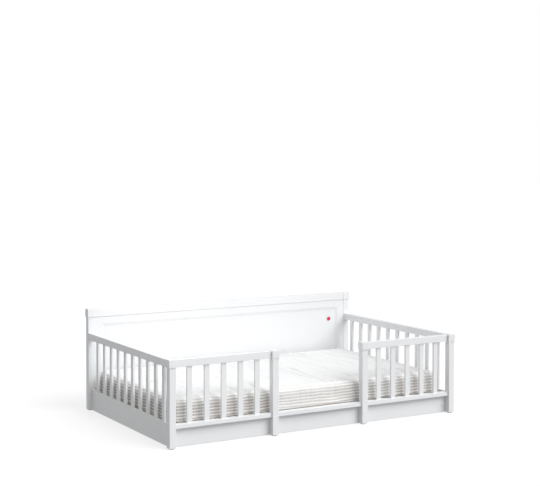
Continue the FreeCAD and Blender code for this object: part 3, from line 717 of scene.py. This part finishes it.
# ---------------------------------------------------------------- badge
def badge_outline(radius, depth):
    """The badge's half section from its middle to its back: (distance from the axis, height)."""
    rim = 0.82 * radius
    return [
        (0.0, 0.92 * depth),
        (0.30 * radius, 0.88 * depth),
        (0.58 * radius, 0.74 * depth),
        (rim - 0.04 * radius, 0.56 * depth),
        (rim, 0.60 * depth),
        (0.86 * radius, 0.92 * depth),
        (0.91 * radius, 1.0 * depth),
        (0.96 * radius, 0.92 * depth),
        (radius, 0.66 * depth),
        (radius, 0.0),
        (0.0, 0.0),
    ]


def make_badge():
    """A plain round badge on the panel: domed middle, and a raised rim round it."""
    low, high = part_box("round_badge")
    radius = (high.x - low.x) / 2
    centre = Vector(((low.x + high.x) / 2, high.y, (low.z + high.z) / 2))
    shape = bmesh.new()
    outline = badge_outline(radius, high.y - low.y)
    dots = [shape.verts.new(centre + Vector((reach, -height, 0.0))) for reach, height in outline]
    edges = [shape.edges.new(pair) for pair in zip(dots, dots[1:])]
    bmesh.ops.spin(
        shape, geom=dots + edges, cent=centre, axis=(0.0, 1.0, 0.0), angle=2 * math.pi, steps=64
    )
    bmesh.ops.remove_doubles(shape, verts=shape.verts, dist=1e-5)
    bmesh.ops.recalc_face_normals(shape, faces=shape.faces)
    piece = add_object("badge_dome", mesh_from("badge_dome", shape))
    piece.data.shade_smooth()
    piece.data.materials.append(badge_plastic("badge_red"))
    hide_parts("round_badge")
    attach(piece, "bed_frame")


# ---------------------------------------------------------------- stage
def make_camera():
    """The camera, in front of the bed and to its left."""
    data = bpy.data.cameras.new("camera")
    data.sensor_width = SENSOR_WIDTH
    data.lens = CAMERA_LENS
    data.shift_y = CAMERA_SHIFT
    camera = bpy.data.objects.new("camera", data)
    camera.location = CAMERA_PLACE
    camera.rotation_euler = (math.radians(CAMERA_TILT), 0.0, math.radians(CAMERA_TURN))
    bpy.context.scene.collection.objects.link(camera)
    bpy.context.scene.camera = camera


def make_key_light():
    """A wide soft light in front of the bed, to its right and above it."""
    data = bpy.data.lights.new("key_light", "SUN")
    data.energy = KEY_STRENGTH
    data.angle = math.radians(KEY_SPREAD)
    light = bpy.data.objects.new("key_light", data)
    light.rotation_mode = "QUATERNION"
    light.rotation_quaternion = Vector(KEY_FROM).to_track_quat("Z", "Y")
    bpy.context.scene.collection.objects.link(light)


def make_inner_light():
    """A weak soft light over the left end, for the faces inside the bed that look left."""
    data = bpy.data.lights.new("inner_light", "AREA")
    data.shape = "RECTANGLE"
    data.size, data.size_y = INNER_SIZE
    data.energy = INNER_POWER
    light = bpy.data.objects.new("inner_light", data)
    light.location = INNER_PLACE
    light.rotation_mode = "QUATERNION"
    away = Vector(INNER_PLACE) - Vector(INNER_AIM)
    light.rotation_quaternion = away.to_track_quat("Z", "Y")
    light.visible_camera = False
    bpy.context.scene.collection.objects.link(light)


def make_sky():
    """White studio walls, brighter above than below and to the right, and plain white behind the bed."""
    world = bpy.data.worlds.new("studio")
    bpy.context.scene.world = world
    sky = Nodes(world)
    parts = sky.add("SeparateXYZ")
    sky.join(sky.add("TexCoord").outputs["Generated"], parts.inputs["Vector"])
    level = sky.between(parts.outputs["Z"], (-0.1, 0.1), (SKY_BELOW, SKY_ABOVE))
    sideways = sky.between(parts.outputs["X"], (-1.0, 1.0), (1.0 - SKY_TILT, 1.0 + SKY_TILT))
    walls = sky.add("Background")
    backdrop = sky.add("Background")
    walls.inputs["Color"].default_value = WHITE
    backdrop.inputs["Color"].default_value = WHITE
    sky.join(sky.times(level, sideways), walls.inputs["Strength"])
    choice = sky.add("MixShader")
    sky.join(sky.add("LightPath").outputs["Is Camera Ray"], choice.inputs["Fac"])
    sky.join(walls.outputs["Background"], choice.inputs[1])
    sky.join(backdrop.outputs["Background"], choice.inputs[2])
    sky.join(choice.outputs["Shader"], sky.add("OutputWorld").inputs["Surface"])


def floor_finish():
    """Pale studio floor, lit a little from within so that shadows on it stay faint."""
    finish = Finish("studio_floor", Emission_Color=WHITE, Emission_Strength=FLOOR_GLOW)
    clouds = finish.noise(0.6, 3.0)
    colour = finish.colours(clouds, (0.3, (0.27, 0.27, 0.27)), (0.7, (0.29, 0.29, 0.29)))
    roughness = finish.between(clouds, MOST_NOISE, (0.85, 0.95))
    return finish.done(colour, roughness, finish.relief(finish.noise(60.0), 0.0002))


def make_floor():
    """A wide round floor under the bed, which throws no light back up at it."""
    shape = bmesh.new()
    bmesh.ops.create_circle(shape, cap_ends=True, segments=96, radius=FLOOR_RADIUS)
    floor = add_object("studio_floor", mesh_from("studio_floor", shape))
    floor.visible_diffuse = False
    floor.data.materials.append(floor_finish())


bpy.context.scene.view_settings.view_transform = "Standard"
make_camera()
make_key_light()
make_inner_light()
make_sky()
make_floor()
finish_cad_nodes()
make_mattress()
make_badge()
